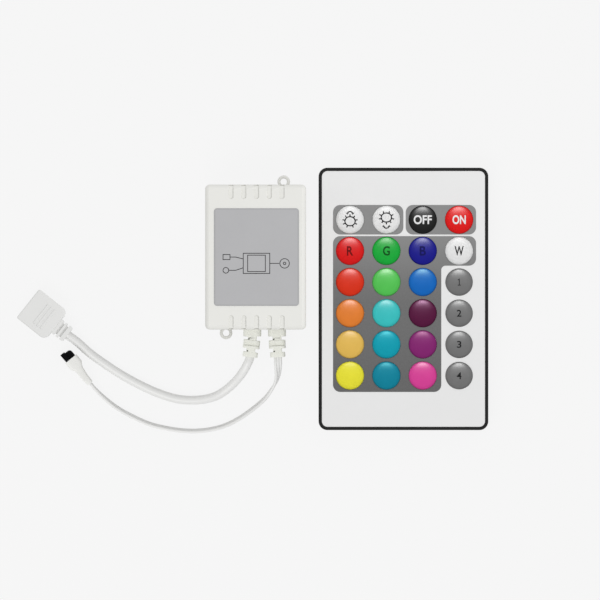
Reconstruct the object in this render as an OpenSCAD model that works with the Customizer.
// Control box for an RGB light strip with its two leads, and the flat infrared remote that goes with it.
// Millimetres, +Z up. Both lie face up on z = 0. The origin is under the middle of box and remote together.

/* [Layout] */
// Gap between the control box and the remote
kit_gap = 4; // [3:0.5:12]
// Distance from the remote's far end to the box's far end
box_drop = 5.5; // [4:0.5:9]

/* [Box shells] */
// Width of the box
box_w = 32; // [31:0.5:40]
// Length of the box without its ears and strain reliefs
box_l = 46; // [45:0.5:56]
// Height of the box
box_h = 20; // [18.5:0.5:26]
// Wall thickness of both shells
box_wall = 1.6; // [1.5:0.1:1.9]
// Radius of the box's corners and upper edges
box_r = 1.5; // [0.8:0.1:2.2]
// Height of the parting line, which the strain reliefs are centred on
split_z = 7; // [6.8:0.1:8]
// Gap that shows between the two shells
seam = 0.2; // [0.1:0.05:0.3]
// Thickness of the lower shell's tongue
tongue_t = 0.7; // [0.6:0.05:0.8]
// Height of the tongue above the parting line
tongue_h = 1.2; // [0.8:0.1:2]
// Width of a snap tab
tab_w = 4; // [3:0.5:6]
// Height of a snap tab above the parting line
tab_h = 3.6; // [3:0.1:4.5]
// Radius of the bead on a snap tab
bead_r = 0.35; // [0.2:0.05:0.4]

/* [Mounting ears] */
// Outer radius of an ear
ear_r = 2; // [1.8:0.1:3]
// Radius of an ear's screw hole
ear_hole_r = 1.05; // [0.8:0.05:1.1]
// Thickness of an ear
ear_t = 1.6; // [1.2:0.1:3]
// Sideways distance of an ear from the middle of the box
ear_dx = 9.2; // [7:0.1:11]
// Sideways shift of both ears
ear_shift = -0.3; // [-0.5:0.1:0.5]
// Distance of an ear's hole beyond the end wall
ear_out = 1.12; // [1.11:0.01:1.4]

/* [Vent grooves] */
// Sideways shift of the grooves and the label
top_shift = 0.3; // [-0.5:0.1:0.5]
// Number of grooves at each end
groove_count = 5; // [3:1:6]
// Distance between grooves
groove_pitch = 4.04; // [3.5:0.02:4.2]
// Width of a groove
groove_w = 1.5; // [1:0.1:2]
// Length of a groove on the top
groove_l = 4.5; // [3.5:0.1:5]
// Length of a groove down the end wall
groove_drop = 3.2; // [2.5:0.1:3.4]
// Depth of a groove
groove_depth = 0.5; // [0.3:0.05:0.7]

/* [Label] */
// Width of the label
label_w = 26.9; // [24:0.1:28]
// Length of the label
label_l = 30.9; // [28:0.1:33]
// Thickness of the label
label_t = 0.15; // [0.1:0.05:0.3]
// Radius of the label's corners
label_r = 1; // [0.5:0.1:2]

/* [Strain reliefs] */
// Width and height of a strain relief beside the wall
gland_w = 5.7; // [5.4:0.1:5.9]
// Width and height of its middle block
gland_middle_w = 5.3; // [5:0.1:5.9]
// Width and height of its tip
gland_tip_w = 4.8; // [4.6:0.1:5.9]
// Radius of its long edges
gland_edge_r = 0.8; // [0.4:0.1:1]
// Width and height of its neck in the wall
gland_neck = 4.4; // [4:0.1:4.8]
// Width and height of its flange inside the wall
gland_flange_w = 6; // [5.6:0.1:6.4]
// Thickness of that flange
gland_flange_t = 1.2; // [0.8:0.1:1.5]
// Thickness left between opposite slots
gland_core = 2.8; // [2.6:0.1:3.6]
// Depth of the core below the top and bottom of the tip
gland_core_drop = 0.2; // [0.1:0.05:0.4]
// Length of the first block, beside the wall
gland_block_l = 2.2; // [1.8:0.1:3]
// Length of a slot from side to side
gland_slot_l = 1.15; // [1:0.05:1.6]
// Length of the middle block
gland_middle_l = 2.7; // [2.6:0.1:4]
// Width of the slot across the middle block
gland_cross_l = 0.9; // [0.6:0.1:1.2]
// Length of the tip block
gland_tip_l = 1.6; // [0.9:0.1:2]
// Place of the output strain relief, sideways from the middle of the box
output_gland_dx = -1.1; // [-2:0.1:-0.5]
// Place of the receiver strain relief, sideways from the middle of the box
receiver_gland_dx = 6.76; // [6.3:0.02:8]
// Angle that the output strain relief is bent by
output_lean = 7; // [0:1:10]
// Angle that the receiver strain relief is bent by
receiver_lean = -2.5; // [-5:0.5:0]

/* [Power socket] */
// Width of the socket body
jack_w = 9; // [8.6:0.1:9.4]
// Height of the socket body
jack_h = 11; // [10.9:0.1:11.5]
// Length of the socket body
jack_l = 14.4; // [14:0.1:15]
// Length of the square front of the socket body
jack_front_l = 3.5; // [3:0.1:4.5]
// Height of the socket's axis above the board
jack_axis_h = 6.4; // [6.1:0.1:6.5]
// Radius of the socket's opening
jack_bore_r = 3.1; // [3:0.05:3.2]
// Depth of the socket's opening
jack_bore_l = 9.5; // [9:0.1:10]
// Radius of the centre pin
jack_pin_r = 1; // [0.95:0.05:1.25]
// Distance of the pin's tip inside the socket's face
jack_pin_inset = 1; // [0.5:0.1:2]
// Distance of the socket's face inside the end wall
jack_recess = 0.2; // [0:0.1:0.5]

/* [Box electronics] */
// Thickness of the main board
main_board_t = 1.2; // [1:0.1:1.6]
// Height of the posts under the main board
post_h = 1.6; // [1.2:0.1:1.8]
// Radius of a post
post_r = 2; // [1.6:0.1:2.4]
// Radius of the pin on a post
post_pin_r = 0.9; // [0.6:0.1:1.1]
// Length of the controller chip
controller_l = 10; // [9:0.1:10.5]
// Width of the chips' bodies
chip_w = 3.9; // [3.5:0.1:4.2]
// Height of the chips
chip_h = 1.5; // [1:0.1:1.8]
// Length of the memory chip
memory_l = 4.9; // [4.5:0.1:5.2]
// Width of a power transistor
mosfet_w = 6.6; // [6:0.1:7]
// Length of a power transistor
mosfet_l = 6.1; // [5.5:0.1:6.5]
// Height of a power transistor
mosfet_h = 2.3; // [2:0.1:2.5]
// Distance between power transistors
mosfet_pitch = 8.5; // [7.5:0.1:9]
// Length of the regulator
regulator_l = 4.5; // [4:0.1:5]
// Width of the regulator
regulator_w = 2.5; // [2:0.1:3]
// Radius of an electrolytic capacitor
capacitor_r = 2.5; // [2:0.1:3]
// Height of an electrolytic capacitor
capacitor_h = 7; // [5:0.5:8]
// Length of a chip resistor
resistor_l = 1.6; // [1.5:0.1:2]
// Width of a chip resistor
resistor_w = 0.8; // [0.7:0.1:1]
// Height of a chip resistor
resistor_h = 0.45; // [0.4:0.05:0.6]
// Distance between chip resistors
resistor_pitch = 3.6; // [3:0.1:4]
// Radius of an output core's insulation
output_core_r = 0.5; // [0.4:0.05:0.55]
// Distance between output cores
output_core_pitch = 1.25; // [1.2:0.05:1.4]
// Radius of a receiver core's insulation
receiver_core_r = 0.4; // [0.3:0.05:0.45]
// Distance between receiver cores inside the box
receiver_core_pitch = 1; // [0.95:0.05:1.2]
// Bend radius of the cores above the board
core_bend = 1.4; // [1.2:0.1:1.5]

/* [Output cable and its connector] */
// Diameter of the output cable
output_d = 2.8; // [2.4:0.1:2.8]
// Width and length of the connector's housing
connector_w = 11.6; // [10.8:0.1:12]
// Height of the connector's housing
connector_h = 5.5; // [5:0.1:6]
// Radius of the housing's corners on the cable side
connector_rear_r = 2; // [1:0.1:2.4]
// Radius of the housing's corners at the sockets
connector_front_r = 0.6; // [0.4:0.1:1]
// Width of the connector's neck
neck_w = 5.4; // [5:0.1:6]
// Height of the connector's neck
neck_h = 4.4; // [4:0.1:4.8]
// Length of the connector's neck
neck_l = 4.6; // [4.2:0.1:5]
// Width of a groove round the neck
neck_groove_l = 0.7; // [0.5:0.1:0.8]
// Depth of a groove round the neck
neck_groove_depth = 0.7; // [0.4:0.1:0.8]
// Width of a grip ridge
ridge_w = 0.7; // [0.4:0.1:0.9]
// Distance of the middle grip ridge from the housing's cable side
ridge_place = 4.8; // [4:0.1:7]
// Distance between grip ridges
ridge_pitch = 1.35; // [1.1:0.05:1.5]
// Length of a grip ridge
ridge_l = 7.6; // [6:0.1:9]
// Height of a grip ridge
ridge_h = 0.2; // [0.1:0.05:0.3]
// Distance between the sockets
socket_pitch = 2.54; // [2.5:0.01:2.6]
// Width of a socket's opening
socket_w = 1; // [0.9:0.05:1.2]
// Width of a socket contact
contact_w = 1.8; // [1.6:0.1:1.9]
// Length of a socket contact
contact_l = 6.5; // [5.5:0.1:7]
// Depth of a contact behind the connector's face
contact_inset = 1; // [0.8:0.1:1.5]

/* [Receiver lead] */
// Width of the flat lead across its three cores
lead_w = 2.6; // [2.4:0.1:2.7]
// Thickness of the flat lead
lead_t = 0.95; // [0.8:0.05:1]
// Width of the sleeve over the receiver, seen from above
sleeve_w = 4.6; // [4.5:0.1:5]
// Height of the sleeve over the receiver
sleeve_h = 6.4; // [6.3:0.1:6.8]
// Wall of the sleeve
sleeve_wall = 0.3; // [0.2:0.05:0.3]
// Width of the receiver, upright here because it lies on its side
receiver_w = 5.4; // [5:0.1:5.5]
// Thickness of the receiver's slab
slab_t = 1.55; // [1.4:0.05:1.6]
// Reach of the receiver's lens beyond the slab
lens_reach = 2.1; // [1.9:0.05:2.1]
// Length of the receiver that shows beyond the sleeve
receiver_out = 3; // [2.6:0.1:3.4]
// Length of the receiver under the sleeve
receiver_in = 2.4; // [2:0.1:2.4]
// Distance from the slab's end to the lens's end
lens_inset = 0.4; // [0.2:0.1:0.8]
// Radius that rounds the lens's end
lens_end_r = 1; // [0.5:0.1:1.4]
// Width of a receiver leg
leg_w = 0.5; // [0.4:0.05:0.55]
// Length of a receiver leg
leg_l = 1.1; // [0.8:0.1:1.2]
// Distance between receiver legs
leg_pitch = 2.1; // [1.9:0.05:2.2]

/* [Remote] */
// Width of the remote
remote_w = 54; // [52:0.5:58]
// Length of the remote
remote_l = 83.5; // [82:0.5:90]
// Height of the remote without its keys
remote_h = 6.5; // [6.4:0.1:8]
// Radius of the remote's corners
remote_r = 2.8; // [2:0.1:4]
// Width of the black rim round the face
rim_w = 1; // [0.8:0.1:1.2]
// Height of the rim above the face
rim_rise = 0.1; // [0.06:0.02:0.3]
// Thickness of the tray's floor
tray_floor = 0.7; // [0.5:0.1:0.8]
// Thickness of the tray's wall beside the board
tray_wall = 1.8; // [1.6:0.1:2]
// Width of the ledge under the board's edge
ledge_w = 1; // [0.8:0.1:1.5]
// Thickness of the face plate
plate_t = 0.75; // [0.6:0.05:0.8]
// Thickness of the grey printed fields
print_t = 0.05; // [0.03:0.01:0.06]
// Thickness of the remote's board
remote_board_t = 0.8; // [0.6:0.05:0.9]

/* [Keys] */
// Diameter of a key
key_d = 8.9; // [8:0.1:9]
// Diameter of a mode key
mode_key_d = 8.6; // [8:0.1:9]
// Distance between key columns
key_pitch_x = 11.57; // [11:0.05:12]
// Distance between key rows
key_pitch_y = 9.92; // [9.9:0.02:10.2]
// Sideways shift of the keys and fields from the middle of the remote
key_shift_x = 0.35; // [0:0.05:0.5]
// Distance from the remote's far end to the top row of keys
key_top_drop = 16.55; // [16:0.05:17.2]
// Radial clearance of a key in the face plate
key_clear = 0.08; // [0.05:0.01:0.1]
// Reach of a key's flange beyond the key
key_flange = 0.3; // [0.2:0.05:0.4]
// Thickness of a key's flange
key_flange_t = 0.4; // [0.3:0.05:0.45]
// Height of a key's edge above the face
key_edge_h = 0.35; // [0.3:0.05:0.5]
// Height of a key's dome above its edge
key_dome_h = 0.6; // [0.4:0.05:0.8]
// Radius of a snap dome
snap_r = 2.5; // [2:0.1:3]
// Height of a snap dome
snap_h = 0.25; // [0.2:0.05:0.25]
// Margin of a grey field beside its keys
field_margin_x = 0.95; // [0.5:0.05:1]
// Margin of a grey field above and below a single row of keys
field_margin_y = 0.25; // [0.15:0.05:0.3]
// Extra margin of the large grey field, beside and below its keys
field_extra = 0.5; // [0.3:0.05:0.6]
// Radius of a grey field's corners
field_r = 2.3; // [1.5:0.1:3]
// Radius of the large grey field's inner corner
field_inner_r = 1.4; // [0.5:0.1:1.5]

/* [Battery drawer] */
// Diameter of the coin cell
cell_d = 20; // [19.9:0.1:20]
// Height of the coin cell
cell_h = 2.5; // [2.3:0.1:2.5]
// Height of the cell's raised cap
cell_cap_h = 0.3; // [0.2:0.05:0.4]
// Width of the cell's flat rim round the cap
cell_rim = 1.2; // [0.8:0.1:1.5]
// Thickness of the drawer's floor
drawer_floor = 0.2; // [0.15:0.05:0.2]
// Clearance of the cell in the drawer
cell_clear = 0.15; // [0.1:0.05:0.2]
// Width of the drawer
drawer_w = 24; // [23.4:0.1:25]
// Solid front of the drawer, ahead of the cell
drawer_front = 4; // [3.5:0.1:5]
// Solid back of the drawer, behind the cell
drawer_back = 1.8; // [1.5:0.1:2.5]
// Clearance round the drawer
drawer_clear = 0.12; // [0.1:0.01:0.15]
// Radius of the opening in the drawer's floor
drawer_window_r = 7; // [5:0.5:8]
// Width of the slot that frees the latch finger
latch_slot_w = 0.8; // [0.6:0.1:1]
// Length of the latch finger
latch_l = 8; // [6:0.5:8.5]
// Thickness of the latch finger
latch_t = 1.2; // [1:0.1:1.4]
// Radius of the thumb notch in the tray's floor
notch_r = 5; // [4:0.5:6]
// Thickness of the ribs beside the drawer
rib_t = 1; // [0.8:0.1:1.2]

/* [Remote electronics] */
// Radius of the infrared LED
led_r = 1.5; // [1.4:0.05:1.5]
// Radius of the LED's flange
led_flange_r = 1.8; // [1.7:0.05:1.9]
// Length of the LED with its nose
led_l = 5.6; // [5:0.1:6]
// Thickness of the LED's flange
led_flange_t = 1; // [0.8:0.1:1.2]
// Radius of an LED leg
led_leg_r = 0.25; // [0.2:0.05:0.3]
// Distance between the LED's legs
led_leg_pitch = 2.54; // [2:0.02:2.6]
// Length of the LED's legs
led_leg_l = 5.4; // [4.5:0.1:6]
// Length and width of the remote's chip
remote_chip_l = 10; // [8:0.5:13]
remote_chip_w = 5.3; // [4:0.1:7.5]
// Height of the remote's chip
remote_chip_h = 1.8; // [1.5:0.1:2]
// Length of the resonator
resonator_l = 5; // [4:0.1:6]
// Width of the resonator
resonator_w = 2.2; // [1.8:0.1:2.5]
// Height of the resonator
resonator_h = 2.4; // [2:0.1:2.6]
// Thickness of the cell contacts' strip
strip_t = 0.15; // [0.1:0.05:0.15]
// Width of the cell contacts' strip
strip_w = 3; // [2:0.1:4]
// Length of the cell contacts' strip
strip_l = 8; // [6:0.5:10]

/* [Hidden] */
$fn = 64;
cut = 1; // overrun of a cut past a face
fit = 0.05; // clearance between pieces of one body that are pushed together
hull_fn = 32;
dome_fn = 360;

kit_w = box_w + kit_gap + remote_w;
box_x = -kit_w / 2 + box_w / 2;
remote_x = kit_w / 2 - remote_w / 2;
box_y = remote_l / 2 - box_drop - box_l / 2;
box_near_y = box_y - box_l / 2;
box_far_y = box_y + box_l / 2;

// Main board
board_gap = 0.3;
main_board_z = box_wall + post_h;
main_board_top = main_board_z + main_board_t;
main_board_w = box_w - 2 * box_wall - 2 * board_gap;
main_board_y0 = box_near_y + box_wall + gland_flange_t + 2 * board_gap;
main_board_y1 = box_far_y - box_wall - board_gap;
main_board_l = main_board_y1 - main_board_y0;
post_edge = post_r + board_gap;
post_pin_rise = 0.6;

// Places on the main board, as shares of its width and length from its middle
controller_place_shares = [0, -0.02];
memory_place_shares = [-0.3, 0.12];
regulator_place_shares = [0.3, 0.12];
mosfet_y_share = -0.25;
capacitor_place_shares = [0.33, 0.32];
resistor_row_y_shares = [-0.125, 0.075];
resistor_row_counts = [6, 3];
tab_y_share = 0.24;

// Socket of the power plug
jack_face_y = box_far_y - jack_recess;
jack_axis_z = main_board_top + jack_axis_h;
jack_tail_w = 1.3;
jack_window_z0 = main_board_top - fit;
jack_window_h = jack_h + 2 * fit;
leaf_t = 0.3;
leaf_w = 2.4;
tag_t = 0.4;
tag_w = 3;

// Strain reliefs: the part past the first slot is turned about the middle of that slot
gland_pivot = gland_block_l + gland_slot_l / 2;
gland_l = gland_block_l + 2 * gland_slot_l + gland_middle_l + gland_tip_l;
function gland_end(dx, lean) = [
    box_x + dx - (gland_l - gland_pivot) * sin(lean),
    box_near_y - gland_pivot - (gland_l - gland_pivot) * cos(lean),
    split_z
];
output_cores = 4;
lead_cores = 3;
lead_core_pitch = lead_w / lead_cores;
core_start_y = box_near_y + box_wall + fit + gland_flange_t;
core_run = 0.6;
splice_share = 0.7;

// Route of the output cable, from its strain relief to the connector
output_route = concat(
    [gland_end(output_gland_dx, output_lean)],
    [
        [-31.5, -20.4, 6.9],
        [-32.5, -22.3, 6.2],
        [-34.0, -24.5, 4.9],
        [-36.0, -26.8, 3.3],
        [-38.6, -29.1, 2.1],
        [-41.8, -31.0, 1.5],
        [-45.5, -32.0, 1.4],
        [-50.0, -32.3, 1.4],
        [-55.0, -31.7, 1.4],
        [-60.5, -29.9, 1.4],
        [-66.0, -27.4, 1.4],
        [-72.0, -24.1, 1.4],
        [-77.5, -20.5, 1.4],
        [-82.0, -17.2, 1.5],
        [-85.8, -13.8, 2.1],
        [-88.9, -11.5, connector_h / 2],
    ]
);
connector_angle = -38.5;

// Route of the flat lead from its strain relief into the sleeve, and its turn about its own axis
lead_route = concat(
    [gland_end(receiver_gland_dx, receiver_lean)],
    [
        [-21.9, -20.8, 6.8],
        [-21.9, -22.8, 5.7],
        [-22.1, -24.8, 4.2],
        [-22.8, -26.9, 2.9],
        [-24.1, -29.1, 2.0],
        [-25.8, -31.4, 1.5],
        [-28.0, -33.5, 1.3],
        [-30.8, -35.7, 1.3],
        [-34.3, -38.1, 1.3],
        [-38.4, -40.2, 1.3],
        [-42.9, -41.5, 1.3],
        [-48.0, -42.1, 1.3],
        [-53.0, -41.9, 1.3],
        [-58.1, -41.1, 1.3],
        [-63.1, -39.8, 1.3],
        [-68.1, -37.6, 1.3],
        [-73.0, -34.9, 1.3],
        [-77.0, -31.8, 1.4],
        [-80.0, -28.9, 1.5],
        [-81.8, -26.8, 1.7],
        [-83.1, -25.4, 1.9],
        [-84.0, -24.1, 2.3],
    ]
);
lead_turns = [
    0, 0, 5, 20, 40, 56, 66, 70, 70, 70, 70, 70, 70, 70, 70, 70, 70, 70, 75, 85, 90, 90, 90,
];

// Route of the sleeve from its narrow end to the receiver, and its size along it
sleeve_route = [
    [-81.8, -26.8],
    [-83.1, -25.4],
    [-84.4, -23.6],
    [-85.5, -22.1],
    [-86.35, -21.0],
    [-87.9, -19.1],
];
sleeve_w_shares = [0.44, 0.5, 0.54, 0.64, 1, 1];
sleeve_h_shares = [0.53, 0.6, 0.8, 0.97, 1, 1];
sleeve_n = len(sleeve_route) - 1;
receiver_angle = 40;
receiver_z = sleeve_h / 2;
slab_d = slab_t + lens_reach;

// Heights and places in the remote
drawer_z = tray_floor + drawer_clear;
drawer_h = drawer_floor + cell_h;
remote_board_z = drawer_z + drawer_h + 2 * strip_t;
plate_top = remote_h - rim_rise;
plate_z = plate_top - plate_t;
flange_z = plate_z - fit - key_flange_t;
snap_z = remote_board_z + remote_board_t;
near_y = -remote_l / 2;
cell_y = near_y + drawer_front + cell_d / 2;
drawer_l = drawer_front + cell_d + drawer_back;
drawer_stop_gap = 0.2;
drawer_slot_w = strip_w + 4 * cell_clear + rib_t;
led_z = remote_board_z - led_leg_r - fit;
led_notch_w = 2 * led_flange_r + rib_t;
led_notch_l = led_l;
contact_gap = 0.2;
remote_chip_place_shares = [0, 0.06];
resonator_place_shares = [0.26, 0.06];
chip_capacitor_place_shares = [[-0.24, 0.1], [-0.24, 0.02]];
support_place_shares = [[-0.3, 0.22], [0.3, 0.22]];
support_r = 1.5;

// Name and colour of each key, row by row from the far end
KEY_ROWS = [
    [
        ["key_brighter", [0.93, 0.93, 0.93]],
        ["key_dimmer", [0.93, 0.93, 0.93]],
        ["key_off", [0.1, 0.1, 0.1]],
        ["key_on", [0.85, 0.12, 0.14]],
    ],
    [
        ["key_red", [0.86, 0.14, 0.14]],
        ["key_green", [0.15, 0.68, 0.28]],
        ["key_blue", [0.14, 0.16, 0.6]],
        ["key_white", [0.94, 0.94, 0.94]],
    ],
    [
        ["key_vermilion", [0.91, 0.3, 0.15]],
        ["key_light_green", [0.37, 0.8, 0.37]],
        ["key_azure", [0.12, 0.45, 0.78]],
        ["key_mode_1", [0.5, 0.5, 0.5]],
    ],
    [
        ["key_orange", [0.92, 0.54, 0.18]],
        ["key_turquoise", [0.28, 0.77, 0.75]],
        ["key_plum", [0.38, 0.1, 0.32]],
        ["key_mode_2", [0.5, 0.5, 0.5]],
    ],
    [
        ["key_sand", [0.89, 0.72, 0.33]],
        ["key_cyan", [0.08, 0.65, 0.75]],
        ["key_magenta", [0.57, 0.16, 0.52]],
        ["key_mode_3", [0.5, 0.5, 0.5]],
    ],
    [
        ["key_yellow", [0.92, 0.9, 0.2]],
        ["key_teal", [0.1, 0.55, 0.65]],
        ["key_pink", [0.84, 0.28, 0.6]],
        ["key_mode_4", [0.5, 0.5, 0.5]],
    ],
];
columns = len(KEY_ROWS[0]);
rows = len(KEY_ROWS);
// Name, column, row and colour of each key
KEYS = [
    for (row = [0:rows - 1], column = [0:columns - 1])
        let (k = KEY_ROWS[row][column]) [k[0], column, row, k[1]]
];
function is_mode(k) = k[1] == columns - 1 && k[2] > 1;
function key_r(k) = (is_mode(k) ? mode_key_d : key_d) / 2;
function key_x(column) = key_shift_x + (column - (columns - 1) / 2) * key_pitch_x;
function key_y(row) = remote_l / 2 - key_top_drop - row * key_pitch_y;

// Shapes that several pieces share
module rounded_rect(w, l, r) {
    square([w - 2 * r, l], center = true);
    square([w, l - 2 * r], center = true);
    for (sx = [-1, 1], sy = [-1, 1])
        translate([sx * (w / 2 - r), sy * (l / 2 - r)]) circle(r);
}

module plate(w, l, r, z0, z1) {
    translate([0, 0, z0]) linear_extrude(z1 - z0) rounded_rect(w, l, r);
}

module block(w, l, h) {
    translate([-w / 2, -l / 2, 0]) cube([w, l, h]);
}

// A round post of height h under a dome of height rise
module cap(r, h, rise) {
    dome_r = (r * r + rise * rise) / (2 * rise);
    rotate_extrude() intersection() {
        translate([0, h + rise - dome_r]) circle(dome_r, $fn = dome_fn);
        square([r, h + rise]);
    }
}

module in_box() {
    translate([box_x, box_y, 0]) children();
}

module in_remote() {
    translate([remote_x, 0, 0]) children();
}

module on_board(shares) {
    translate([
        box_x + shares[0] * main_board_w,
        main_board_y0 + (0.5 + shares[1]) * main_board_l,
        main_board_top
    ]) children();
}

module under_remote_board(shares, h) {
    translate([shares[0] * remote_w, shares[1] * remote_l, remote_board_z - h]) children();
}

// A tube through rings of points, closed at both ends
module sweep(rings) {
    n = len(rings[0]);
    last = (len(rings) - 1) * n;
    sides = [
        for (k = [0:len(rings) - 2], i = [0:n - 1])
            let (a = k * n + i, b = k * n + (i + 1) % n)
                each [[a, b, b + n], [a, b + n, a + n]]
    ];
    polyhedron(
        points = [for (r = rings) each r],
        faces = concat([[for (i = [n - 1:-1:0]) i]], [[for (i = [0:n - 1]) last + i]], sides)
    );
}

function unit(v) = v / norm(v);
// Direction of a route at its point i, with the directions at its two ends given
function along(route, i, first, last) =
    i == 0 ? first : i == len(route) - 1 ? last : unit(route[i + 1] - route[i - 1]);
// An outline carried to point p, square to direction t and turned about it
function ring(p, t, turn, outline) =
    let (side = unit(cross(t, [0, 0, 1])), up = cross(side, t))
        let (s = side * cos(turn) + up * sin(turn), u = up * cos(turn) - side * sin(turn))
            [for (q = outline) p + q[0] * s + q[1] * u];

// Box

module tabs(grow) {
    // Snap tabs stand on the tongue; grow makes the pockets that take them
    for (sx = [-1, 1], sy = [-1, 1])
        translate([
            sx * (box_w / 2 - box_wall + tongue_t / 2),
            sy * tab_y_share * box_l,
            split_z - seam
        ]) {
            translate([0, 0, -(seam + grow)])
                block(tongue_t + 2 * grow, tab_w + 2 * grow, tab_h + seam + 2 * grow);
            translate([sx * tongue_t / 2, tab_w / 2 + grow, tab_h - 2 * bead_r])
                rotate([90, 0, 0]) cylinder(r = bead_r + grow, h = tab_w + 2 * grow);
        }
}

module tongue(grow, z0, z1) {
    inner_w = box_w - 2 * box_wall;
    inner_l = box_l - 2 * box_wall;
    difference() {
        translate([0, 0, z0])
            block(inner_w + 2 * (tongue_t + grow), inner_l + 2 * (tongue_t + grow), z1 - z0);
        translate([0, 0, z0 - cut]) block(inner_w, inner_l, z1 - z0 + 2 * cut);
    }
}

module gland_windows() {
    window = gland_neck + 2 * fit;
    for (dx = [output_gland_dx, receiver_gland_dx])
        translate([dx, -box_l / 2 + box_wall / 2, split_z - window / 2])
            block(window, box_wall + 2 * cut, window);
}

module jack_window() {
    translate([0, box_l / 2 - box_wall / 2, jack_window_z0])
        block(jack_w + 2 * fit, box_wall + 2 * cut, jack_window_h);
}

module ear_place() {
    for (s = [-1, 1])
        translate([ear_shift + s * ear_dx, s * (box_l / 2 + ear_out), 0]) children();
}

module case_base() color([0.9, 0.9, 0.88]) in_box() {
    rim_z = split_z - seam;
    inner_w = box_w - 2 * box_wall;
    inner_l = box_l - 2 * box_wall;
    difference() {
        union() {
            plate(box_w, box_l, box_r, 0, rim_z);
            ear_place() cylinder(r = ear_r, h = ear_t);
            tongue(0, rim_z - cut, split_z + tongue_h);
            tabs(0);
        }
        translate([0, 0, box_wall]) block(inner_w, inner_l, box_h);
        gland_windows();
        jack_window();
        ear_place() translate([0, 0, -cut]) cylinder(r = ear_hole_r, h = ear_t + 2 * cut);
    }
    for (sx = [-1, 1], y = [main_board_y0 + post_edge, main_board_y1 - post_edge])
        translate([sx * (main_board_w / 2 - post_edge), y - box_y, box_wall]) {
            cylinder(r = post_r, h = post_h);
            cylinder(r = post_pin_r, h = post_h + main_board_t + post_pin_rise);
        }
}

module grooves() {
    for (s = [-1, 1], i = [0:groove_count - 1])
        translate([top_shift + (i - (groove_count - 1) / 2) * groove_pitch, s * box_l / 2, box_h]) {
            translate([0, -s * (groove_l - groove_w / 2) / 2, -groove_depth])
                block(groove_w, groove_l - groove_w / 2, groove_depth + cut);
            translate([0, -s * (groove_l - groove_w / 2), -groove_depth])
                cylinder(d = groove_w, h = groove_depth + cut);
            translate([0, s * (cut - groove_depth) / 2, -(groove_drop - groove_w / 2)])
                block(groove_w, groove_depth + cut, groove_drop + cut);
            translate([0, s * (cut - groove_depth) / 2, -(groove_drop - groove_w / 2)])
                rotate([90, 0, 0])
                    cylinder(d = groove_w, h = groove_depth + cut, center = true);
        }
}

module case_top() color([0.9, 0.9, 0.88]) in_box() {
    inner_w = box_w - 2 * box_wall;
    inner_l = box_l - 2 * box_wall;
    difference() {
        hull() for (sx = [-1, 1], sy = [-1, 1])
            translate([sx * (box_w / 2 - box_r), sy * (box_l / 2 - box_r), 0]) {
                translate([0, 0, split_z]) cylinder(r = box_r, h = seam, $fn = hull_fn);
                translate([0, 0, box_h - box_r]) sphere(box_r, $fn = hull_fn);
            }
        translate([0, 0, split_z - cut])
            block(inner_w, inner_l, box_h - box_wall - split_z + cut);
        tongue(fit, split_z - cut, split_z + tongue_h + fit);
        tabs(fit);
        gland_windows();
        jack_window();
        grooves();
    }
}

module blank_label() color([0.71, 0.71, 0.72]) in_box()
    translate([top_shift, 0, 0]) plate(label_w, label_l, label_r, box_h, box_h + label_t);

module main_board() color([0.1, 0.42, 0.22]) difference() {
    translate([box_x, (main_board_y0 + main_board_y1) / 2, main_board_z])
        block(main_board_w, main_board_l, main_board_t);
    for (sx = [-1, 1], y = [main_board_y0 + post_edge, main_board_y1 - post_edge])
        translate([box_x + sx * (main_board_w / 2 - post_edge), y, main_board_z - cut])
            cylinder(r = post_pin_r + fit, h = main_board_t + 2 * cut);
}

module dc_jack() color([0.12, 0.12, 0.13]) translate([box_x, jack_face_y, 0]) difference() {
    union() {
        translate([0, -jack_front_l / 2, main_board_top]) block(jack_w, jack_front_l, jack_h);
        translate([0, -jack_l / 2, main_board_top]) block(jack_w, jack_l, jack_axis_h);
        translate([0, 0, jack_axis_z]) rotate([90, 0, 0]) cylinder(d = jack_w, h = jack_l);
    }
    translate([0, cut, jack_axis_z]) rotate([90, 0, 0])
        cylinder(r = jack_bore_r, h = jack_bore_l + cut);
    // Square hole of the pin's tail
    translate([0, -jack_l / 2, jack_axis_z - jack_tail_w / 2 - fit])
        block(jack_tail_w + 2 * fit, jack_l + cut, jack_tail_w + 2 * fit);
    // Slot for the sleeve leaf, under the opening
    translate([0, -jack_bore_l / 2, jack_axis_z - jack_bore_r - leaf_t - 2 * fit])
        block(leaf_w + 2 * fit, jack_bore_l - leaf_w, jack_bore_r);
}

module dc_jack_contacts() color([0.78, 0.76, 0.7]) translate([box_x, jack_face_y, 0]) {
    pin_l = jack_bore_l - jack_pin_inset;
    translate([0, -jack_bore_l, jack_axis_z]) rotate([-90, 0, 0]) {
        cylinder(r = jack_pin_r, h = pin_l - jack_pin_r);
        translate([0, 0, pin_l - jack_pin_r]) sphere(jack_pin_r);
    }
    translate([0, -(jack_bore_l + jack_l + fit) / 2, jack_axis_z - jack_tail_w / 2])
        block(jack_tail_w, jack_l - jack_bore_l + fit, jack_tail_w);
    translate([0, -jack_l - fit - tag_t / 2, main_board_top])
        block(tag_w, tag_t, jack_axis_h + jack_pin_r);
    translate([0, -jack_bore_l / 2, jack_axis_z - jack_bore_r - leaf_t - fit])
        block(leaf_w, jack_bore_l - leaf_w - 2 * fit, leaf_t);
}

module controller_chip() color([0.13, 0.13, 0.14])
    on_board(controller_place_shares) block(controller_l, chip_w, chip_h);

module memory_chip() color([0.13, 0.13, 0.14])
    on_board(memory_place_shares) block(memory_l, chip_w, chip_h);

module regulator() color([0.15, 0.15, 0.16])
    on_board(regulator_place_shares) block(regulator_l, regulator_w, chip_h);

module mosfets() color([0.16, 0.16, 0.17])
    for (i = [-1:1]) on_board([0, mosfet_y_share])
        translate([i * mosfet_pitch, 0, 0]) block(mosfet_w, mosfet_l, mosfet_h);

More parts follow.
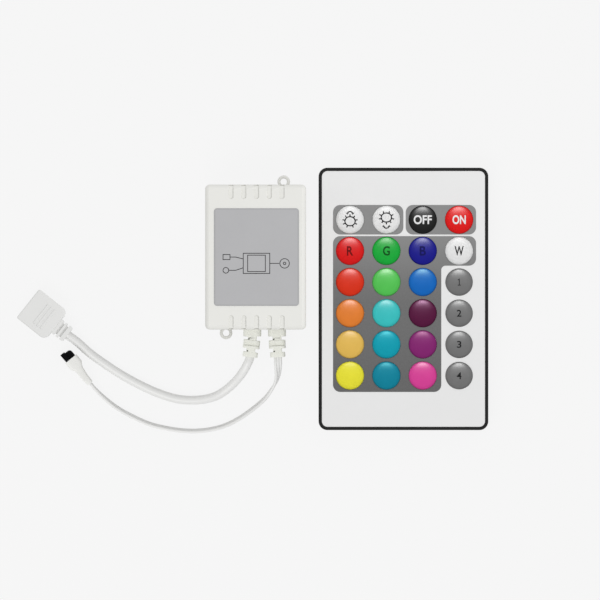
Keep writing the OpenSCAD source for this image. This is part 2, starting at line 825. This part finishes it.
module electrolytic_capacitors() color([0.62, 0.64, 0.68])
    for (s = [-1, 1]) on_board([s * capacitor_place_shares[0], capacitor_place_shares[1]])
        cylinder(r = capacitor_r, h = capacitor_h);

module chip_resistors() color([0.2, 0.2, 0.22])
    for (row = [0, 1], i = [0:resistor_row_counts[row] - 1])
        on_board([0, resistor_row_y_shares[row]])
            translate([(i - (resistor_row_counts[row] - 1) / 2) * resistor_pitch, 0, 0])
                block(resistor_l, resistor_w, resistor_h);

// A core from the strain relief's inner face, over and down to the board
module core(r) {
    drop = split_z - main_board_top - core_bend;
    translate([0, core_start_y, split_z]) rotate([-90, 0, 0]) cylinder(r = r, h = core_run);
    translate([0, core_start_y + core_run, split_z - core_bend]) rotate([90, 0, 90])
        rotate_extrude(angle = 90) translate([core_bend, 0]) circle(r);
    translate([0, core_start_y + core_run + core_bend, main_board_top])
        cylinder(r = r, h = drop);
}

module output_core_wires() color([0.75, 0.2, 0.2])
    for (i = [0:output_cores - 1])
        translate([box_x + output_gland_dx + (i - (output_cores - 1) / 2) * output_core_pitch, 0, 0])
            core(output_core_r);

module receiver_core_wires() color([0.9, 0.9, 0.9])
    for (i = [0:lead_cores - 1])
        translate([box_x + receiver_gland_dx + (i - (lead_cores - 1) / 2) * receiver_core_pitch, 0, 0])
            core(receiver_core_r);

// Leads and what is on them

// Stretch of a strain relief from distance a to distance b outside the wall
module gland_bar(w, h, r, a, b) {
    translate([0, -a, 0]) rotate([90, 0, 0]) linear_extrude(b - a) rounded_rect(w, h, r);
}

module gland(dx, lean) color([0.91, 0.91, 0.88]) translate([box_x + dx, box_near_y, split_z]) {
    core_r = gland_edge_r / 2;
    core_h = gland_tip_w - 2 * gland_core_drop;
    slot_2 = gland_block_l + gland_slot_l;
    slot_3 = slot_2 + gland_middle_l;
    tip = slot_3 + gland_slot_l;
    gland_bar(
        gland_flange_w, gland_flange_w, core_r,
        -(box_wall + fit + gland_flange_t), -(box_wall + fit)
    );
    gland_bar(gland_neck, gland_neck, core_r, -(box_wall + 2 * fit), 2 * fit);
    gland_bar(gland_w, gland_w, gland_edge_r, fit, gland_block_l);
    gland_bar(gland_core, core_h, core_r, gland_block_l - fit, gland_pivot + fit);
    translate([0, -gland_pivot, 0]) rotate([0, 0, -lean]) translate([0, gland_pivot, 0]) {
        gland_bar(gland_core - fit, core_h - fit, core_r, gland_pivot - gland_edge_r / 2, slot_2 + fit);
        difference() {
            gland_bar(gland_middle_w, gland_middle_w, gland_edge_r, slot_2, slot_3);
            for (s = [-1, 1])
                translate([0, -(slot_2 + slot_3) / 2, s * (gland_core + gland_w) / 2])
                    cube([2 * gland_w, gland_cross_l, gland_w], center = true);
        }
        gland_bar(gland_core, core_h, core_r, slot_3 - fit, tip + fit);
        gland_bar(gland_tip_w, gland_tip_w, gland_edge_r, tip, gland_l);
    }
}

module output_gland() gland(output_gland_dx, output_lean);

module receiver_gland() gland(receiver_gland_dx, receiver_lean);

module output_cable() color([0.93, 0.93, 0.92]) {
    sides = 8;
    outline = [for (i = [0:sides - 1]) output_d / 2 * [cos(360 * i / sides), sin(360 * i / sides)]];
    first = [-sin(output_lean), -cos(output_lean), 0];
    last = -[cos(connector_angle), sin(connector_angle), 0];
    sweep([
        for (i = [0:len(output_route) - 1])
            ring(output_route[i], along(output_route, i, first, last), 0, outline)
    ]);
}

function socket_y(i) = (i - (output_cores - 1) / 2) * socket_pitch;

// The connector's own frame: x = 0 at the cable, and the sockets open at the far end, towards -x
module at_connector() {
    end = output_route[len(output_route) - 1];
    translate([end[0], end[1], 0]) rotate([0, 0, connector_angle]) children();
}

module connector_housing() {
    front = -neck_l - connector_w;
    r = connector_rear_r;
    f = connector_front_r;
    linear_extrude(connector_h) {
        translate([front + f, -connector_w / 2]) square([connector_w - f - r, connector_w]);
        translate([front, -connector_w / 2 + f]) square([f, connector_w - 2 * f]);
        translate([-neck_l - r, -connector_w / 2 + r]) square([r, connector_w - 2 * r]);
        for (s = [-1, 1]) {
            translate([front + f, s * (connector_w / 2 - f)]) circle(f);
            translate([-neck_l - r, s * (connector_w / 2 - r)]) circle(r);
        }
    }
}

module connector_body() color([0.9, 0.9, 0.89]) at_connector() {
    front = -neck_l - connector_w;
    mid_z = connector_h / 2;
    groove_place_shares = [0.3, 0.62];
    difference() {
        connector_housing();
        for (i = [0:output_cores - 1]) translate([0, socket_y(i), mid_z]) {
            translate([front - cut, -socket_w / 2, -socket_w / 2])
                cube([contact_inset + 2 * cut, socket_w, socket_w]);
            translate([front + contact_inset - fit, -contact_w / 2 - fit, -contact_w / 2 - fit])
                cube([contact_l + 2 * fit, contact_w + 2 * fit, contact_w + 2 * fit]);
        }
    }
    // Grip ridges across the upper face
    for (i = [-1:1])
        translate([-neck_l - ridge_place + i * ridge_pitch, 0, connector_h])
            block(ridge_w, ridge_l, ridge_h);
    difference() {
        translate([-neck_l / 2, 0, mid_z - neck_h / 2]) block(neck_l, neck_w, neck_h);
        for (share = groove_place_shares)
            translate([-neck_l * (1 - share), 0, mid_z]) difference() {
                cube([neck_groove_l, 2 * neck_w, 2 * neck_h], center = true);
                cube(
                    [2 * neck_groove_l, neck_w - 2 * neck_groove_depth, neck_h - 2 * neck_groove_depth],
                    center = true
                );
            }
    }
}

module connector_contacts() color([0.8, 0.72, 0.45]) at_connector() {
    bore_w = contact_w / 2;
    for (i = [0:output_cores - 1]) translate([
        -neck_l - connector_w + contact_inset,
        socket_y(i) - contact_w / 2,
        connector_h / 2 - contact_w / 2
    ]) difference() {
        cube([contact_l, contact_w, contact_w]);
        translate([-cut, (contact_w - bore_w) / 2, (contact_w - bore_w) / 2])
            cube([contact_l, bore_w, bore_w]);
    }
}

module receiver_cable() color([0.93, 0.93, 0.92]) {
    w = lead_w / 2;
    t = lead_t / 2;
    e = lead_t / 4;
    outline = [[w, e], [w - e, t], [e - w, t], [-w, e], [-w, -e], [e - w, -t], [w - e, -t], [w, -e]];
    first = [-sin(receiver_lean), -cos(receiver_lean), 0];
    n = len(lead_route) - 1;
    last = unit(lead_route[n] - lead_route[n - 1]);
    sweep([
        for (i = [0:n])
            ring(lead_route[i], along(lead_route, i, first, last), lead_turns[i], outline)
    ]);
}

// Centre line of the sleeve, with its ends moved out by reach
function sleeve_points(reach) = [
    for (i = [0:sleeve_n])
        let (
            p = [sleeve_route[i][0], sleeve_route[i][1], sleeve_h_shares[i] * sleeve_h / 2],
            outward = i == 0 ? -1 : i == sleeve_n ? 1 : 0
        ) p + outward * reach * sleeve_direction(i)
];
function sleeve_direction(i) =
    let (a = sleeve_route[max(i - 1, 0)], b = sleeve_route[min(i + 1, sleeve_n)])
        unit([b[0] - a[0], b[1] - a[1], 0]);

module sleeve_form(wall, reach) {
    corner_share = 0.9;
    c = corner_share;
    unit_outline = [[1, c], [c, 1], [-c, 1], [-1, c], [-1, -c], [-c, -1], [c, -1], [1, -c]];
    p = sleeve_points(reach);
    sweep([
        for (i = [0:sleeve_n])
            let (
                w = sleeve_w_shares[i] * sleeve_w / 2 - wall,
                h = sleeve_h_shares[i] * sleeve_h / 2 - wall
            ) ring(p[i], sleeve_direction(i), 0, [for (q = unit_outline) [q[0] * w, q[1] * h]])
    ]);
}

module receiver_sleeve() color([0.9, 0.9, 0.87]) difference() {
    sleeve_form(0, 0);
    sleeve_form(sleeve_wall, fit);
}

// The receiver's own frame: its length is +y, its lens faces +x, and y = 0 is the sleeve's edge
module at_receiver() {
    translate([sleeve_route[sleeve_n][0], sleeve_route[sleeve_n][1], receiver_z])
        rotate([0, 0, receiver_angle]) children();
}

module ir_receiver() color([0.05, 0.05, 0.06]) at_receiver() {
    lens_l = receiver_in + receiver_out - lens_inset;
    translate([-slab_d / 2, -receiver_in, -receiver_w / 2])
        cube([slab_t, receiver_in + receiver_out, receiver_w]);
    intersection() {
        translate([slab_t - slab_d / 2, -receiver_in, 0]) rotate([-90, 0, 0])
            rotate_extrude() {
                square([lens_reach - lens_end_r, lens_l]);
                square([lens_reach, lens_l - lens_end_r]);
                translate([lens_reach - lens_end_r, lens_l - lens_end_r])
                    intersection() {
                        circle(lens_end_r);
                        square(lens_end_r);
                    }
            }
        translate([slab_t - slab_d / 2, -receiver_in, -receiver_w / 2])
            cube([lens_reach, lens_l, receiver_w]);
    }
}

module receiver_legs() color([0.75, 0.75, 0.76]) at_receiver()
    for (i = [-1:1])
        translate([-leg_w / 2, -receiver_in - leg_l, i * leg_pitch - leg_w / 2])
            cube([leg_w, leg_l, leg_w]);

// Solder joints with the bared core ends, from the lead's end to the legs
module receiver_splices() color([0.7, 0.7, 0.72]) {
    n = len(lead_route) - 1;
    d = unit(lead_route[n] - lead_route[n - 1]);
    across = cross(unit(cross(d, [0, 0, 1])), d);
    leg_end_y = -receiver_in - leg_l;
    legs_end = [
        sleeve_route[sleeve_n][0] - leg_end_y * sin(receiver_angle),
        sleeve_route[sleeve_n][1] + leg_end_y * cos(receiver_angle),
        receiver_z
    ];
    splice_r = receiver_core_r * splice_share;
    for (i = [-1:1]) hull() {
        translate(lead_route[n] + d * (splice_r + fit) + i * lead_core_pitch * across)
            sphere(splice_r, $fn = hull_fn / 2);
        translate(legs_end + [0, 0, i * leg_pitch]
            + (splice_r + fit) * [sin(receiver_angle), -cos(receiver_angle), 0])
            sphere(splice_r, $fn = hull_fn / 2);
    }
}

// Remote

module key_places() {
    for (k = KEYS) translate([key_x(k[1]), key_y(k[2]), 0]) {
        $key_r = key_r(k);
        children();
    }
}

module remote_tray() color([0.12, 0.12, 0.12]) in_remote() {
    low_wall = tray_wall + ledge_w;
    difference() {
        plate(remote_w, remote_l, remote_r, 0, remote_h);
        plate(remote_w - 2 * rim_w, remote_l - 2 * rim_w, remote_r - rim_w, plate_z, remote_h + cut);
        plate(
            remote_w - 2 * tray_wall, remote_l - 2 * tray_wall, remote_r - rim_w,
            remote_board_z, remote_h
        );
        plate(
            remote_w - 2 * low_wall, remote_l - 2 * low_wall, remote_r - rim_w,
            tray_floor, remote_h
        );
        // Mouth of the drawer
        translate([0, near_y + low_wall / 2, tray_floor])
            block(drawer_w + 2 * drawer_clear, low_wall + 2 * cut, drawer_h + 2 * drawer_clear);
        // Thumb notch under the drawer's front
        translate([0, near_y, -cut]) cylinder(r = notch_r, h = tray_floor + 2 * cut);
        // Window of the LED
        translate([0, -near_y + cut, led_z]) rotate([90, 0, 0])
            cylinder(r = led_r + 2 * fit, h = low_wall + 2 * cut);
    }
    // Ribs that guide the drawer and carry the board
    for (s = [-1, 1])
        translate([
            s * (drawer_w / 2 + drawer_clear + rib_t / 2),
            near_y + (low_wall + drawer_l + rib_t) / 2,
            tray_floor - fit
        ])
            block(rib_t, drawer_l + rib_t - low_wall, remote_board_z - tray_floor + fit);
    // Stop behind the drawer
    translate([0, near_y + drawer_l + drawer_stop_gap + rib_t / 2, tray_floor - fit])
        block(drawer_w / 2, rib_t, cell_h / 2);
    for (shares = support_place_shares)
        translate([shares[0] * remote_w, shares[1] * remote_l, tray_floor - fit])
            cylinder(r = support_r, h = remote_board_z - tray_floor + fit);
}

module face_plate() color([0.92, 0.92, 0.92]) in_remote() difference() {
    plate(
        remote_w - 2 * (rim_w + fit), remote_l - 2 * (rim_w + fit), remote_r - rim_w,
        plate_z, plate_top
    );
    key_places() translate([0, 0, plate_z - cut])
        cylinder(r = $key_r + key_clear, h = plate_t + 2 * cut);
}

// A grey field with rounded corners, between two corners given as [x, y]
module field(low, high) {
    translate((low + high) / 2) rounded_rect(high[0] - low[0], high[1] - low[1], field_r);
}

module panel_print() color([0.48, 0.48, 0.49]) in_remote()
    translate([0, 0, plate_top]) linear_extrude(print_t) difference() {
        mx = key_d / 2 + field_margin_x;
        my = key_d / 2 + field_margin_y;
        left = key_x(0) - mx;
        right = key_x(columns - 1) + mx;
        low_right = key_x(columns - 2) + mx + field_extra;
        low = key_y(rows - 1) - my - field_extra;
        row_1_low = key_y(1) - my;
        union() {
            field([left, key_y(0) - my], [key_x(1) + mx, key_y(0) + my]);
            field([key_x(2) - mx, key_y(0) - my], [right, key_y(0) + my]);
            field([left, row_1_low], [right, key_y(1) + my]);
            field([left, low], [low_right, key_y(1) + my]);
            // Fillet in the inner corner
            translate([low_right, row_1_low - field_inner_r]) difference() {
                square(field_inner_r);
                translate([field_inner_r, 0]) circle(field_inner_r);
            }
        }
        for (k = KEYS) translate([key_x(k[1]), key_y(k[2])]) circle(key_r(k) + key_clear);
    }

module remote_board() color([0.12, 0.4, 0.2]) in_remote() difference() {
    plate(
        remote_w - 2 * (tray_wall + 2 * fit), remote_l - 2 * (tray_wall + 2 * fit), remote_r - rim_w,
        remote_board_z, remote_board_z + remote_board_t
    );
    translate([0, -near_y - tray_wall, remote_board_z - cut])
        block(led_notch_w, 2 * led_notch_l, remote_board_t + 2 * cut);
}

module snap_domes() color([0.78, 0.78, 0.76]) in_remote()
    key_places() translate([0, 0, snap_z]) cap(snap_r, 0, snap_h);

module ir_led() color([0.75, 0.8, 0.9]) in_remote() translate([0, -near_y, led_z]) {
    translate([0, -led_l, 0]) rotate([-90, 0, 0]) {
        cylinder(r = led_r, h = led_l - led_r);
        cylinder(r = led_flange_r, h = led_flange_t);
        translate([0, 0, led_l - led_r]) sphere(led_r);
    }
    for (s = [-1, 1])
        translate([s * led_leg_pitch / 2, -led_l + fit, 0]) rotate([90, 0, 0])
            cylinder(r = led_leg_r, h = led_leg_l);
}

module remote_chip() color([0.13, 0.13, 0.14]) in_remote()
    under_remote_board(remote_chip_place_shares, remote_chip_h)
        block(remote_chip_l, remote_chip_w, remote_chip_h);

module remote_passives() color([0.8, 0.6, 0.3]) in_remote() {
    under_remote_board(resonator_place_shares, resonator_h)
        block(resonator_l, resonator_w, resonator_h);
    for (shares = chip_capacitor_place_shares)
        under_remote_board(shares, resistor_w) block(resistor_l, resistor_w, resistor_w);
}

module battery_drawer() color([0.14, 0.14, 0.14]) in_remote() difference() {
    translate([0, near_y + drawer_l / 2, drawer_z]) block(drawer_w, drawer_l, drawer_h);
    translate([0, cell_y, drawer_z + drawer_floor])
        cylinder(r = cell_d / 2 + cell_clear, h = drawer_h);
    translate([0, cell_y, drawer_z - cut]) cylinder(r = drawer_window_r, h = drawer_h);
    // Gap for the positive contact, open at the back
    translate([0, cell_y + cell_d / 2, drawer_z + drawer_floor])
        block(drawer_slot_w, 3 * drawer_back, drawer_h);
    // Slot that frees the latch finger
    translate([-drawer_w / 2 + latch_t, near_y - cut, drawer_z - cut])
        cube([latch_slot_w, latch_l + cut, drawer_h + 2 * cut]);
}

module coin_cell() color([0.75, 0.75, 0.76]) in_remote()
    translate([0, cell_y, drawer_z + drawer_floor]) {
        cylinder(d = cell_d, h = cell_h - cell_cap_h);
        cylinder(r = cell_d / 2 - cell_rim, h = cell_h);
    }

module battery_contacts() color([0.8, 0.78, 0.7]) in_remote() {
    back = cell_y + cell_d / 2 + contact_gap;
    // Strip over the cell's cap
    translate([0, cell_y, remote_board_z - strip_t]) block(strip_w, strip_l, strip_t);
    // Bent strip behind the cell
    translate([0, back + strip_l / 2, remote_board_z - strip_t]) block(strip_w, strip_l, strip_t);
    translate([0, back + strip_t / 2, remote_board_z - cell_h + cell_cap_h])
        block(strip_w, strip_t, cell_h - cell_cap_h);
}

// A key: a flange held under the face plate, a short wall and a domed crown
module key(k) color(k[3]) in_remote() translate([key_x(k[1]), key_y(k[2]), 0]) {
    r = key_r(k);
    translate([0, 0, flange_z]) {
        cylinder(r = r + key_flange, h = key_flange_t);
        cap(r, plate_top + key_edge_h - flange_z, key_dome_h);
    }
}

case_top();
case_base();
blank_label();
main_board();
dc_jack();
dc_jack_contacts();
controller_chip();
memory_chip();
mosfets();
regulator();
electrolytic_capacitors();
chip_resistors();
output_core_wires();
receiver_core_wires();
output_gland();
receiver_gland();
output_cable();
connector_body();
connector_contacts();
receiver_cable();
receiver_splices();
receiver_sleeve();
ir_receiver();
receiver_legs();
remote_tray();
face_plate();
panel_print();
remote_board();
snap_domes();
ir_led();
remote_chip();
remote_passives();
battery_drawer();
coin_cell();
battery_contacts();
for (k = KEYS) key(k);
